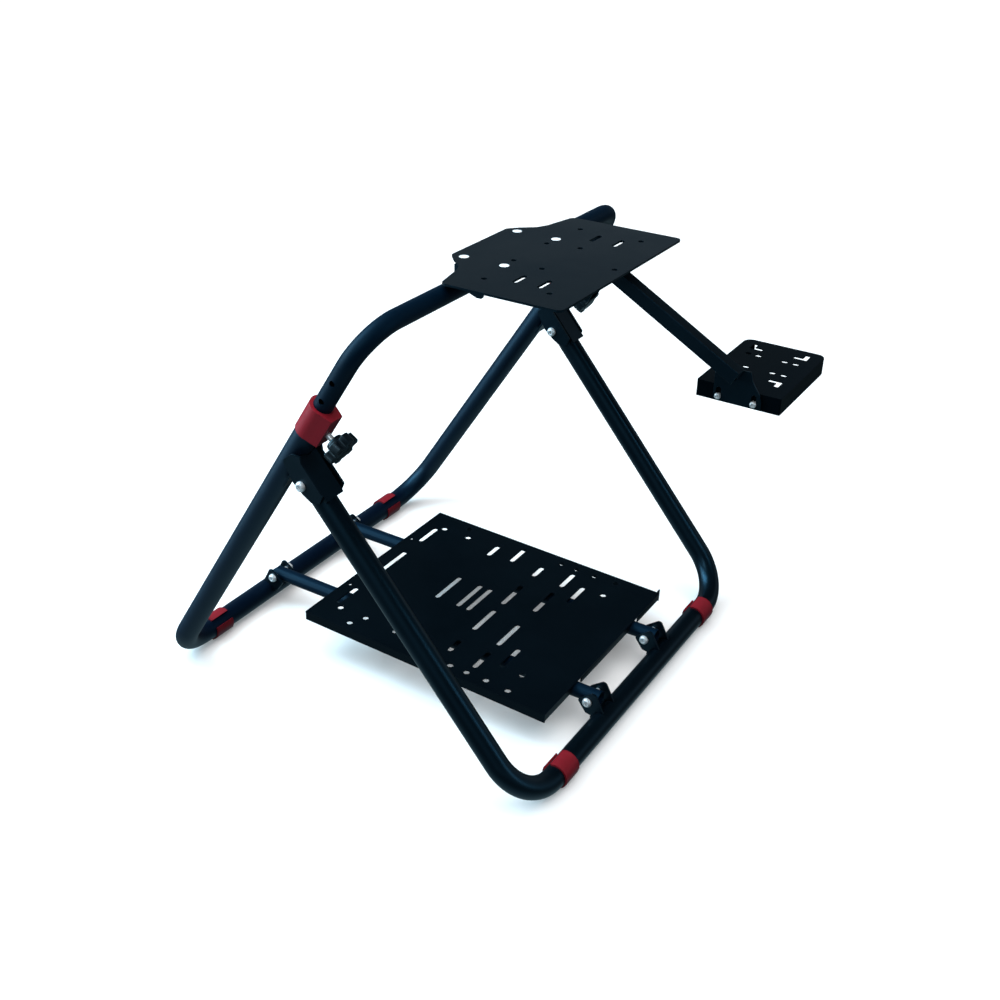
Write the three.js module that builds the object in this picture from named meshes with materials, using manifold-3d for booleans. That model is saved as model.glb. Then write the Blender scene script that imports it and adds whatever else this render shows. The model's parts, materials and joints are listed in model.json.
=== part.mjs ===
// Folding racing-wheel stand: two hinged U-shaped tube frames, a telescopic upper
// frame with a slotted wheel plate, a hinged pedal tray and a side arm with a shifter tray.
// Millimetres, +Z up, +X towards the seated driver, +Y to the driver's right.
import * as THREE from 'three';
import { mergeVertices } from 'three/addons/utils/BufferGeometryUtils.js';
import Module from 'manifold-3d';

const wasm = await Module();
wasm.setup();

// ---------------------------------------------------------------- driving dimensions
const DEG = Math.PI / 180;
const GAP = 0.3;                       // clearance between touching pieces
// layout is drawn from the rear floor bar's axis; it is then moved to the stand's middle
const X_REAR = 0;                      // rear floor bar axis
const X_FRONT = 611.8;                 // front floor bar axis
const Z_BAR = 19;                      // floor bar axis height (tube radius + clip wall)
const HALF_W = 310.1;                  // leg centre line to the middle plane
const X_SHIFT = -366.5;                // rear bar axis in the finished frame of reference
// tubes
const R_OUT = 16, R_OUT_IN = 14;       // 32 mm frame tube, 2 mm wall
const R_UP = 12.7, R_UP_IN = 11.1;     // 25.4 mm upper tube
const R_SUP = 11, R_SUP_IN = 9.5;      // 22 mm pedal support tube
// rear frame
const REAR_LEAN = 32.61 * DEG;         // from vertical, towards +X
const REAR_TOP = 573;                  // end of the outer tube along the leg
const REAR_BEND = 68;
const CLAMP_T = 549.2;                 // clamp screw along the leg
// upper frame
const UP_LOW = 330;                    // lower end of the inner tube along the leg
const UP_TOP = 706;                    // top bar axis along the leg
const UP_BEND = 56;
const HOLE_PITCH = 32.6, HOLE_T0 = 592.4, HOLE_R = 4;
// front frame
const PIVOT = [288.5, 399.5];          // fold pivot (x, z)
const HALF_F = 312;                    // front legs stand a little wider
const FRONT_BEND = 70;
const STUB_R = 16.5;                   // rounded end of the front legs about the pivot
// pedal tray
const REAR_CLEVIS = [18, 48];          // bolt axis (x, z)
const FRONT_CLEVIS = [588.5, 45.5];   // a little lower: the tubes slope to the front
const SUP_Y = 89.5;                    // support tube to the middle plane
const PED_TILT = 1.75 * DEG;           // plate rises towards the rear
const PED_X = [145, 561.5], PED_HY = 179.5, PED_T = 2, PED_FLANGE = 14;
const PED_Z350 = 65.95;                 // top surface height at x = 350
// wheel plate
const WP_TOP = 632.4, WP_T = 3, WP_HY = 165;
// shifter
const ARM_SLOPE = 29.26 * DEG, ARM = 19, ARM_WALL = 1.5, ARM_Y0 = 31.8;
const ARM_EDGE = [538.4, 610.6];       // point on the arm's upper edge (x, z)
const ST_X = [636.5, 752], ST_Y = [54.4, 224.3], ST_TOP = 490, ST_T = 1.5, ST_FLANGE = 23;
// fasteners
const BOLT_R = 4, BOLT_HOLE = 4.3, HEAD_R = 7, HEAD_H = 5.2;
const SEG = 20, SEG_IN = 14;           // sides of the large tubes, outside and inside

// ---------------------------------------------------------------- materials
const black = () => new THREE.MeshStandardMaterial({ color: 0x16222b, roughness: 0.42, metalness: 0.35 });
const red = () => new THREE.MeshStandardMaterial({ color: 0x8e1b28, roughness: 0.45, metalness: 0.0 });
const zinc = () => new THREE.MeshStandardMaterial({ color: 0xb9bdc0, roughness: 0.3, metalness: 0.9 });
const plastic = () => new THREE.MeshStandardMaterial({ color: 0x15191c, roughness: 0.5, metalness: 0.0 });

// ---------------------------------------------------------------- solid helpers
function solid(geometry) {
  const g = geometry.clone();
  g.deleteAttribute('normal');
  if (g.attributes.uv) g.deleteAttribute('uv');
  const m = mergeVertices(g, 1e-4);
  return new wasm.Manifold(new wasm.Mesh({
    numProp: 3,
    vertProperties: new Float32Array(m.attributes.position.array),
    triVerts: new Uint32Array(m.index.array),
  }));
}
function toGeometry(man) {
  const mesh = man.getMesh();
  const g = new THREE.BufferGeometry();
  const np = mesh.numProp, n = mesh.vertProperties.length / np;
  const pos = new Float32Array(n * 3);
  for (let i = 0; i < n; i++) for (let k = 0; k < 3; k++) pos[i * 3 + k] = mesh.vertProperties[i * np + k];
  g.setAttribute('position', new THREE.BufferAttribute(pos, 3));
  g.setIndex(new THREE.BufferAttribute(new Uint32Array(mesh.triVerts), 1));
  const flat = g.toNonIndexed();
  flat.computeVertexNormals();
  return flat;
}
const V3 = (x, y, z) => new THREE.Vector3(x, y, z);
// a prism of an outline, with the holes cut through it afterwards
function extruded(outline, depth, place, holes) {
  const make = (pts, d, z) => {
    const s = new THREE.Shape(pts.map((p) => new THREE.Vector2(p[0], p[1])));
    const g = new THREE.ExtrudeGeometry(s, { depth: d, bevelEnabled: false, steps: 1 });
    g.translate(0, 0, z);
    place(g);
    return solid(g);
  };
  let m = make(outline, depth, 0);
  for (const h of holes) m = m.subtract(make(h, depth + 2, -1));
  return m;
}
// a prism of an (x, z) outline between y0 and y1
function prismY(outline, y0, y1, holes = []) {
  return extruded(outline, y1 - y0, (g) => {
    g.applyMatrix4(new THREE.Matrix4().makeBasis(V3(1, 0, 0), V3(0, 0, 1), V3(0, -1, 0)));
    g.translate(0, y1, 0);
  }, holes);
}
// a prism of an (x, y) outline between z0 and z1
function prismZ(outline, z0, z1, holes = []) {
  return extruded(outline, z1 - z0, (g) => g.translate(0, 0, z0), holes);
}
// a prism of an outline in the (u, v) plane, from w0 to w1 along w = u x v
function prismFrame(outline, origin, u, v, w0, w1, holes = []) {
  const w = new THREE.Vector3().crossVectors(u, v);
  return extruded(outline, w1 - w0, (g) => {
    g.translate(0, 0, w0);
    g.applyMatrix4(new THREE.Matrix4().makeBasis(u, v, w));
    g.translate(origin.x, origin.y, origin.z);
  }, holes);
}
// cylinder from point a to point b
function cyl(a, b, r, seg = 16, r2 = r) {
  const d = new THREE.Vector3().subVectors(b, a), len = d.length();
  const g = new THREE.CylinderGeometry(r2, r, len, seg, 1);
  g.translate(0, len / 2, 0);
  g.applyQuaternion(new THREE.Quaternion().setFromUnitVectors(V3(0, 1, 0), d.normalize()));
  g.translate(a.x, a.y, a.z);
  return solid(g);
}
function box(x0, x1, y0, y1, z0, z1) {
  const g = new THREE.BoxGeometry(x1 - x0, y1 - y0, z1 - z0);
  g.translate((x0 + x1) / 2, (y0 + y1) / 2, (z0 + z1) / 2);
  return solid(g);
}
// profile [[radius, height], ...] turned about the line from a in direction d
function turned(profile, a, d, seg = 16) {
  const g = new THREE.LatheGeometry(profile.map((p) => new THREE.Vector2(p[0], p[1])), seg);
  g.applyQuaternion(new THREE.Quaternion().setFromUnitVectors(V3(0, 1, 0), d.clone().normalize()));
  g.translate(a.x, a.y, a.z);
  return solid(g);
}
function arcPts(cx, cy, r, a0, a1, n) {
  const out = [];
  for (let i = 0; i <= n; i++) {
    const a = a0 + (a1 - a0) * i / n;
    out.push([cx + r * Math.cos(a), cy + r * Math.sin(a)]);
  }
  return out;
}
const circlePts = (cx, cy, r, n = 12) => arcPts(cx, cy, r, 0, 2 * Math.PI * (1 - 1 / n), n - 1);
// slot along Y (long axis y) or along X, from c0 to c1 overall, width w
const slotY = (x, y0, y1, w) => [
  ...arcPts(x, y1 - w / 2, w / 2, 0, Math.PI, 3), ...arcPts(x, y0 + w / 2, w / 2, Math.PI, 2 * Math.PI, 3)];
const slotX = (x0, x1, y, w) => [
  ...arcPts(x1 - w / 2, y, w / 2, -Math.PI / 2, Math.PI / 2, 3), ...arcPts(x0 + w / 2, y, w / 2, Math.PI / 2, 1.5 * Math.PI, 3)];
// polygon with rounded corners: pts [[x, y, radius], ...]
function rounded(pts, n = 4) {
  const out = [], m = pts.length;
  for (let i = 0; i < m; i++) {
    const [x, y, r = 0] = pts[i], a = pts[(i + m - 1) % m], b = pts[(i + 1) % m];
    if (!r) { out.push([x, y]); continue; }
    const p = new THREE.Vector2(x, y);
    const da = new THREE.Vector2(a[0] - x, a[1] - y).normalize(), db = new THREE.Vector2(b[0] - x, b[1] - y).normalize();
    const half = Math.acos(Math.max(-1, Math.min(1, da.dot(db)))) / 2;
    const t = r / Math.tan(half);
    const p0 = p.clone().addScaledVector(da, t), p1 = p.clone().addScaledVector(db, t);
    const c = p.clone().addScaledVector(da.clone().add(db).normalize(), r / Math.sin(half));
    let a0 = Math.atan2(p0.y - c.y, p0.x - c.x), a1 = Math.atan2(p1.y - c.y, p1.x - c.x);
    while (a1 - a0 > Math.PI) a1 -= 2 * Math.PI;
    while (a1 - a0 < -Math.PI) a1 += 2 * Math.PI;
    out.push(...arcPts(c.x, c.y, r, a0, a1, n));
  }
  return out;
}
// path made of given stations; the extrusion takes a section exactly at each station
class StationPath extends THREE.Curve {
  constructor(points, tangents) { super(); this.p = points; this.t = tangents; }
  at(list, u) {
    const f = u * (this.p.length - 1), i = Math.min(Math.floor(f + 1e-9), this.p.length - 2), k = f - i;
    return list[i].clone().lerp(list[i + 1], k);
  }
  getPoint(u, target = new THREE.Vector3()) { return target.copy(this.at(this.p, u)); }
  getPointAt(u, target = new THREE.Vector3()) { return this.getPoint(u, target); }
  getTangentAt(u, target = new THREE.Vector3()) { return target.copy(this.at(this.t, u).normalize()); }
  getTangent(u, target = new THREE.Vector3()) { return this.getTangentAt(u, target); }
}
// U-shaped centre line in a leaning plane: bar along Y, legs along dir, bar axis at bar
function uPath(bar, dir, legLen, halfW, bend, n) {
  const P = [], T = [];
  const at = (y, d) => V3(bar.x + dir.x * d, y, bar.z + dir.z * d);
  P.push(at(-halfW, legLen)); T.push(dir.clone().negate());
  for (let i = 0; i <= n; i++) {
    const a = Math.PI / 2 * i / n;
    P.push(at(-halfW + bend - bend * Math.cos(a), bend - bend * Math.sin(a)));
    T.push(dir.clone().multiplyScalar(-Math.cos(a)).add(V3(0, Math.sin(a), 0)));
  }
  for (let i = n; i >= 0; i--) {
    const a = Math.PI / 2 * i / n;
    P.push(at(halfW - bend + bend * Math.cos(a), bend - bend * Math.sin(a)));
    T.push(dir.clone().multiplyScalar(Math.cos(a)).add(V3(0, Math.sin(a), 0)));
  }
  P.push(at(halfW, legLen)); T.push(dir.clone());
  return new StationPath(P, T);
}
function pipe(path, rOut, rIn, seg) {
  const s = new THREE.Shape(circlePts(0, 0, rOut, seg).map((p) => new THREE.Vector2(...p)));
  if (rIn) s.holes.push(new THREE.Path(circlePts(0, 0, rIn, SEG_IN).map((p) => new THREE.Vector2(...p))));
  return solid(new THREE.ExtrudeGeometry(s, { steps: path.p.length - 1, bevelEnabled: false, extrudePath: path }));
}

// ---------------------------------------------------------------- reference directions
const uR = V3(Math.sin(REAR_LEAN), 0, Math.cos(REAR_LEAN));        // up the rear leg
const nR = V3(Math.cos(REAR_LEAN), 0, -Math.sin(REAR_LEAN));       // out of the rear frame, to the front
const rearBar = V3(X_REAR, 0, Z_BAR);
const rearAt = (t, n = 0, y = 0) => rearBar.clone().addScaledVector(uR, t).addScaledVector(nR, n).add(V3(0, y, 0));
const frontBar = V3(X_FRONT, 0, Z_BAR);
const pivot = V3(PIVOT[0], 0, PIVOT[1]);
const uF = pivot.clone().sub(frontBar).normalize();                // up the front leg
const mF = V3(-uF.z * -1, 0, -uF.x);                               // out of the front frame, forwards and up
const frontLen = pivot.distanceTo(frontBar);
const frontAt = (s, m = 0, y = 0) => frontBar.clone().addScaledVector(uF, s).addScaledVector(mF, m).add(V3(0, y, 0));
const Y = V3(0, 1, 0);
const aArm = V3(Math.cos(ARM_SLOPE), 0, -Math.sin(ARM_SLOPE));     // along the shifter arm, outwards
const bArm = V3(Math.sin(ARM_SLOPE), 0, Math.cos(ARM_SLOPE));      // up, square to the arm

const nodes = [];
const put = (name, man, material) => nodes.push([name, man, material]);
const SIDES = [['left', -1], ['right', 1]];

// ---------------------------------------------------------------- fasteners
// bolt along +Y: head outside at yHead, shank to yEnd; sign tells which way the shank runs
function boltY(x, z, yHead, yEnd, r = BOLT_R, headR = HEAD_R, headH = HEAD_H) {
  const dir = Math.sign(yEnd - yHead), L = Math.abs(yEnd - yHead);
  const hr = headR;
  return turned([[0, -headH], [hr * 0.62, -headH], [hr * 0.95, -headH * 0.5], [hr, 0], [r, 0], [r, L], [0, L]],
    V3(x, yHead, z), V3(0, dir, 0), 10)
    .subtract(cyl(V3(x, yHead - dir * (headH + 1), z), V3(x, yHead - dir * (headH - 2.6), z), r * 0.62, 6));
}
function nutY(x, z, y0, y1, flat = 6.5, hole = BOLT_HOLE) {
  return cyl(V3(x, y0, z), V3(x, y1, z), flat / Math.cos(Math.PI / 6), 6).subtract(cyl(V3(x, y0 - 1, z), V3(x, y1 + 1, z), hole, 10));
}

// ---------------------------------------------------------------- rear frame
{
  let tube = pipe(uPath(rearBar, uR, REAR_TOP, HALF_W, REAR_BEND, 7), R_OUT, R_OUT_IN, SEG);
  for (const [, s] of SIDES) {
    tube = tube.subtract(cyl(rearAt(CLAMP_T, 10, s * HALF_W), rearAt(CLAMP_T, 20, s * HALF_W), BOLT_HOLE, 12));
  }
  put('rear_frame_tube', tube, black());
}
// red clamp collars on the outer tube's ends, with the boss that the clamp screw passes through
const COL = [531, 578.5], COL_R = 17.6, BOSS_N = 24;
for (const [side, s] of SIDES) {
  const yc = s * HALF_W;
  // section in (n, y) about the leg axis
  const ring = arcPts(0, 0, COL_R, 60 * DEG, 300 * DEG, 16);
  const sec = [[BOSS_N, -10.8], [BOSS_N, 10.8], [13.6, 14], ...ring, [13.6, -14]];
  let c = prismFrame(sec, rearAt(0, 0, yc), nR, Y, COL[0], COL[1]);
  c = c.subtract(cyl(rearAt(COL[0] - 1, 0, yc), rearAt(REAR_TOP + GAP, 0, yc), R_OUT + GAP, SEG))
    .subtract(cyl(rearAt(COL[0] - 1, 0, yc), rearAt(COL[1] + 1, 0, yc), R_UP + GAP, SEG))
    .subtract(cyl(rearAt(CLAMP_T, 8, yc), rearAt(CLAMP_T, BOSS_N + 2, yc), BOLT_HOLE, 12));
  put(`collar_${side}`, c, red());
}
// hinge brackets: a channel welded over the rear leg, its two cheeks pass beside the front leg
const CHEEK_IN = 19.3, CHEEK_OUT = 22.3;
const CHEEK = rounded([[288.5, 439.4, 0], [275.1, 440.2, 7], [260.1, 427.7, 6], [275.5, 400.7, 4], [290.3, 387.6, 6],
  [303.2, 379.8, 5], [316, 382.5, 0], [frontAt(474, 21.5).x, frontAt(474, 21.5).z, 3], [frontAt(523, 21.5).x, frontAt(523, 21.5).z, 0]], 3);
for (const [side, s] of SIDES) {
  const yc = s * HALF_W, a = CHEEK_IN, b = CHEEK_OUT;
  let br = prismY(CHEEK, yc - b, yc - a).add(prismY(CHEEK, yc + a, yc + b));
  br = br.subtract(cyl(V3(PIVOT[0], yc - 30, PIVOT[1]), V3(PIVOT[0], yc + 30, PIVOT[1]), BOLT_HOLE, 12));
  // back web of the channel against the rear leg
  const webAt = (t, n) => { const p = rearAt(t, n); return [p.x, p.z]; };
  const back = prismY([webAt(452, R_OUT + GAP), webAt(474, R_OUT + GAP), webAt(474, CHEEK_IN), webAt(452, CHEEK_IN)].reverse(), yc - b, yc + b);
  put(`hinge_bracket_${side}`, br.add(back).subtract(cyl(rearAt(300, 0, yc), rearAt(560, 0, yc), R_OUT + GAP, 24)), black());
  put(`hinge_bolt_${side}`, boltY(PIVOT[0], PIVOT[1], yc - b - GAP, yc + b + GAP + HEAD_H), zinc());
  put(`hinge_nut_${side}`, nutY(PIVOT[0], PIVOT[1], yc + b + GAP, yc + b + GAP + HEAD_H), zinc());
}
// C-shaped floor clips; the mouth faces up and to the inside of the stand
const CLIP_Y = 220.5, CLIP_L = 34;
function clip(bar, inward, yc) {
  const mouth = 21 * DEG, r1 = R_OUT + GAP, r2 = 19;
  const c0 = inward > 0 ? 45 * DEG : 135 * DEG;
  const outer = arcPts(bar.x, bar.z, r2, c0 + mouth, c0 + 2 * Math.PI - mouth, 16);
  const inner = arcPts(bar.x, bar.z, r1, c0 + 2 * Math.PI - mouth * 1.1, c0 + mouth * 1.1, 16);
  const band = prismY([...outer, ...inner], yc - CLIP_L / 2, yc + CLIP_L / 2);
  const foot = prismY(rounded([[bar.x - 6.5, bar.z - 19, 0], [bar.x + 6.5, bar.z - 19, 0], [bar.x + 6.5, bar.z - 14, 0], [bar.x - 6.5, bar.z - 14, 0]]), yc - CLIP_L / 2, yc + CLIP_L / 2)
    .subtract(cyl(V3(bar.x, yc - 30, bar.z), V3(bar.x, yc + 30, bar.z), r1, 20));
  return band.add(foot);
}
for (const [side, s] of SIDES) put(`rear_clip_${side}`, clip(rearBar, 1, s * CLIP_Y), red());
// clevises: a saddle on the floor bar with two ears
function clevis(bar, inward, bolt, ys, off = 0) {
  const X = (d) => bar.x + inward * d;                             // d is the distance inwards
  const bx = (bolt[0] - bar.x) * inward, bz = bolt[1] - bar.z;
  const R1 = R_OUT + GAP;
  let ear = [[-4, 15], [-1.5, 20, 3], [10, 41.8, 4], [15.5, 43, 4], [22, 38, 5], [38, 26, 4], [24, 7.3, 3], [15, 6]];
  ear = rounded(ear, 2).map(([d, z]) => [X(d + off), bar.z + z]);
  const saddle = [...arcPts(0, 0, R1 + 2, 6 * DEG, 50 * DEG, 5), ...arcPts(0, 0, 8, 50 * DEG, 6 * DEG, 2)].map(([d, z]) => [X(d), bar.z + z]);
  const flip = (o) => (inward < 0 ? o.slice().reverse() : o);
  let m = prismY(flip(ear), ys - 17.5, ys - 14.5).add(prismY(flip(ear), ys + 14.5, ys + 17.5)).add(prismY(flip(saddle), ys - 17.5, ys + 17.5));
  m = m.subtract(cyl(V3(bar.x, ys - 30, bar.z), V3(bar.x, ys + 30, bar.z), R1, 20));
  return m.subtract(cyl(V3(X(bx), ys - 30, bar.z + bz), V3(X(bx), ys + 30, bar.z + bz), BOLT_HOLE, 10));
}
for (const [side, s] of SIDES) {
  const y = s * SUP_Y;
  put(`rear_clevis_${side}`, clevis(rearBar, 1, REAR_CLEVIS, y), black());
  put(`rear_clevis_bolt_${side}`, boltY(REAR_CLEVIS[0], REAR_CLEVIS[1], y - 17.8, y + 17.8 + HEAD_H), zinc());
  put(`rear_clevis_nut_${side}`, nutY(REAR_CLEVIS[0], REAR_CLEVIS[1], y + 17.8, y + 17.8 + HEAD_H), zinc());
}

// ---------------------------------------------------------------- upper frame
{
  const top = rearAt(UP_TOP);
  let tube = pipe(uPath(top, uR.clone().negate(), UP_TOP - UP_LOW, HALF_W, UP_BEND, 6), R_UP, R_UP_IN, SEG);
  for (const [, s] of SIDES) {
    for (let k = -4; k <= 1; k++) {
      const c = rearAt(HOLE_T0 + k * HOLE_PITCH, 0, s * HALF_W);
      tube = tube.subtract(cyl(c.clone().add(V3(0, s * 8, 0)), c.clone().add(V3(0, s * 16, 0)), HOLE_R, 8));
    }
  }
  put('upper_frame_tube', tube, black());
}
// clamp screws: steel stud and star-shaped head
for (const [side, s] of SIDES) {
  const c = (n) => rearAt(CLAMP_T, n, s * HALF_W), k = 1.3;
  put(`clamp_stud_${side}`, cyl(c(13.3), c(38 + k), BOLT_R, 12), zinc());
  const star = [];
  const lobes = 6, R = 22.3, r = 14.5;
  for (let i = 0; i < lobes; i++) {
    const a = 2 * Math.PI * i / lobes;
    for (const [f, rad] of [[-0.33, 17.5], [-0.25, 21.4], [0, R], [0.25, 21.4], [0.33, 17.5], [0.5, r]]) {
      const b = a + f * 2 * Math.PI / lobes;
      star.push([rad * Math.cos(b), rad * Math.sin(b)]);
    }
  }
  // the outline's plane normal uR x (-Y) may face either way along nR
  const across = Y.clone().negate(), out = new THREE.Vector3().crossVectors(uR, across).dot(nR) > 0;
  let head = prismFrame(star, c(0), uR, across, out ? 39 + k : -53 - k, out ? 53 + k : -39 - k);
  head = head.add(turned([[0, 32.6 + k], [9.5, 32.6 + k], [10.5, 34 + k], [12, 39.5 + k], [0, 39.5 + k]], c(0), nR, 12))
    .add(turned([[0, 52.5 + k], [13, 52.5 + k], [11, 54.5 + k], [0, 54.5 + k]], c(0), nR, 12))
    .subtract(cyl(c(30), c(38 + k + GAP), BOLT_R + GAP, 12));
  put(`clamp_knob_${side}`, head, plastic());
}

// ---------------------------------------------------------------- front frame
{
  let tube = pipe(uPath(frontBar, uF, frontLen + STUB_R + 4, HALF_F, FRONT_BEND, 7), R_OUT, R_OUT_IN, SEG);
  for (const [, s] of SIDES) {
    const y = s * HALF_F;
    const a = frontAt(frontLen, 0), pts = [[0, -26], [30, -26], [30, 26], [0, 26]].map(([t, m]) => { const p = frontAt(frontLen + t, m); return [p.x, p.z]; });
    const cutter = prismY(pts.reverse(), y - 20, y + 20).subtract(cyl(V3(a.x, y - 30, a.z), V3(a.x, y + 30, a.z), STUB_R, 20));
    tube = tube.subtract(cutter);
    tube = tube.subtract(cyl(V3(PIVOT[0], y - 20, PIVOT[1]), V3(PIVOT[0], y + 20, PIVOT[1]), BOLT_HOLE, 12));
  }
  put('front_frame_tube', tube, black());
}
// flat slabs on the front legs between the hinge cheeks
for (const [side, s] of SIDES) {
  const yc = s * HALF_F, q = (t, m) => { const p = frontAt(t, m); return [p.x, p.z]; };
  put(`hinge_cap_${side}`, prismY([q(466, 15), q(530, 15), q(530, 20), q(466, 20)].reverse(), yc - 16.5, yc + 16.5)
    .subtract(cyl(frontAt(440, 0, yc), frontAt(560, 0, yc), R_OUT + GAP, 24))
    .subtract(cyl(rearAt(300, 0, s * HALF_W), rearAt(620, 0, s * HALF_W), R_OUT + 1, 24)), black());
}
for (const [side, s] of SIDES) {
  const y = s * SUP_Y;
  put(`front_clip_${side}`, clip(frontBar, -1, s * CLIP_Y), red());
  put(`front_clevis_${side}`, clevis(frontBar, -1, FRONT_CLEVIS, y, 1.5), black());
  put(`front_clevis_bolt_${side}`, boltY(FRONT_CLEVIS[0], FRONT_CLEVIS[1], y - 17.8, y + 17.8 + HEAD_H), zinc());
  put(`front_clevis_nut_${side}`, nutY(FRONT_CLEVIS[0], FRONT_CLEVIS[1], y + 17.8, y + 17.8 + HEAD_H), zinc());
}

// ---------------------------------------------------------------- pedal tray
const pedZ = (x) => PED_Z350 - (x - 350) * Math.tan(PED_TILT);
const uP = V3(Math.cos(PED_TILT), 0, -Math.sin(PED_TILT)), vP = V3(0, 1, 0), wP = V3(Math.sin(PED_TILT), 0, Math.cos(PED_TILT));
const P0 = V3(350, 0, PED_Z350);
const SADDLES = [['rear', 186], ['middle', 318]];
for (const [side, s] of SIDES) {
  const y = s * SUP_Y, [x0, z0] = REAR_CLEVIS, [fx, fz] = FRONT_CLEVIS;
  const d = V3(fx - x0, 0, fz - z0).normalize(), at = (k) => V3(x0, y, z0).addScaledVector(d, k);
  const L = Math.hypot(fx - x0, fz - z0) + 12;
  let t = cyl(at(-11), at(L), R_SUP, 16).subtract(cyl(at(-12), at(L + 1), R_SUP_IN, 12));
  t = t.subtract(box(x0 - 20, x0, y - 20, y + 20, z0 - 20, z0 + 20).subtract(cyl(V3(x0, y - 30, z0), V3(x0, y + 30, z0), R_SUP, 20)));
  t = t.subtract(cyl(V3(x0, y - 20, z0), V3(x0, y + 20, z0), BOLT_HOLE, 10));
  // open hook over the front bolt, running down and backwards
  t = t.subtract(cyl(V3(fx, y - 20, fz), V3(fx, y + 20, fz), BOLT_HOLE + 0.2, 10))
    .subtract(prismY([[fx + 4.4, fz + 0.6], [fx + 4.2, fz - 14], [fx - 14, fz - 14], [fx - 4.2, fz + 1]].reverse(), y - 20, y + 20));
  for (const [, sx] of SADDLES) t = t.subtract(cyl(V3(sx, y, z0 - 20), V3(sx, y, z0 + 20), 3.3, 8));
  put(`support_tube_${side}`, t, black());
}
{
  const hy = PED_HY, u0 = (PED_X[0] - 350) / Math.cos(PED_TILT), u1 = (PED_X[1] - 350) / Math.cos(PED_TILT);
  const holes = [], U = (x) => (x - 350) / Math.cos(PED_TILT);
  const H = (x, y, r, n = 8) => { for (const s of [-1, 1]) holes.push(circlePts(U(x), s * y, r, n)); };
  const S = (x, y0, y1, w = 8) => { holes.push(slotY(U(x), y0, y1, w)); holes.push(slotY(U(x), -y1, -y0, w)); };
  H(155, 82.5, 2.6, 6); H(181.5, 140, 4.8); H(216.3, 163, 4.8); H(228.5, 140, 4.8); H(395.3, 162, 4.8);
  H(423, 162, 4.8); H(455.5, 161.5, 4.8); H(492.5, 163.3, 4.8); H(491.5, 122, 4.8);
  S(170, 84, 133.5); S(284, 113.5, 147); S(324, 120, 167); S(375, 104, 135.5); S(425.5, 103.5, 147.5); S(456.3, 72, 124);
  S(375.5, 10, 71); S(425.3, 21.5, 83);
  for (const x of [283.5, 322.5, 340.5]) holes.push(slotY(U(x), -34.5, 34.5, 8));
  holes.push(slotY(U(170.5), -45, 45, 8));
  const outline = rounded([[u0, -hy, 1], [u1, -hy, 0], [u1, hy, 0], [u0, hy, 1]], 2);
  let plate = prismFrame(outline, P0, uP, vP, -PED_T, 0, holes);
  const flange = (a, b, c, d, top, bot) => prismFrame([[a, c], [b, c], [b, d], [a, d]], P0, uP, vP, bot, top);
  plate = plate.add(flange(u0 + 1, u1, -hy, -hy + PED_T, -1, -PED_FLANGE))
    .add(flange(u0 + 1, u1, hy - PED_T, hy, -1, -PED_FLANGE));
  // front lip, notched over the two support tubes
  let lip = flange(u1 - PED_T, u1, -hy, hy, -1, -11.5);
  for (const s of [-1, 1]) lip = lip.subtract(box(530, 580, s * SUP_Y - 15, s * SUP_Y + 15, 20, 60.2));
  put('pedal_plate', plate.add(lip).add(flange(u1 - PED_T, u1, hy - 7, hy, 6.5, -1)), black());
}
for (const [side, s] of SIDES) {
  for (const [nm, sx] of SADDLES) {
    // saddle: a folded strap under the plate that sits over the support tube
    const y = s * SUP_Y, zt = REAR_CLEVIS[1] - (sx - REAR_CLEVIS[0]) * (REAR_CLEVIS[1] - FRONT_CLEVIS[1]) / (FRONT_CLEVIS[0] - REAR_CLEVIS[0]);
    const wy = nm === 'middle' ? 16 : 14, hx = nm === 'middle' ? 16 : 10, top = (x) => pedZ(x) - PED_T - GAP;
    const yIn = nm === 'middle' ? s * 46 : s * (SUP_Y - wy), yOut = s * (SUP_Y + wy);
    const lo = Math.min(yIn, yOut), hi = Math.max(yIn, yOut);
    let sd = prismY([[sx - hx, zt - 4], [sx + hx, zt - 4], [sx + hx, top(sx + hx)], [sx - hx, top(sx - hx)]], s * SUP_Y - wy, s * SUP_Y + wy)
      .add(prismY([[sx - hx, top(sx - hx) - 3], [sx + hx, top(sx + hx) - 3], [sx + hx, top(sx + hx)], [sx - hx, top(sx - hx)]], lo, hi));
    sd = sd.subtract(cyl(V3(sx - 30, y, zt), V3(sx + 30, y, zt), R_SUP + GAP + 0.1, 20))
      .subtract(box(sx - 30, sx + 30, y - R_SUP - GAP, y + R_SUP + GAP, zt - 20, zt))
      .subtract(cyl(V3(sx, y, zt), V3(sx, y, top(sx) - 1.2), 3.3, 10));
    put(`pedal_saddle_${nm}_${side}`, sd, black());
    const zHead = zt - R_SUP - GAP - 0.1;
    put(`pedal_screw_${nm}_${side}`, turned([[0, -4], [4, -4], [5.6, -2.2], [5.6, 0], [3, 0], [3, top(sx) - 1.6 - zHead], [0, top(sx) - 1.6 - zHead]], V3(sx, y, zHead), V3(0, 0, 1), 10), zinc());
  }
}

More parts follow.
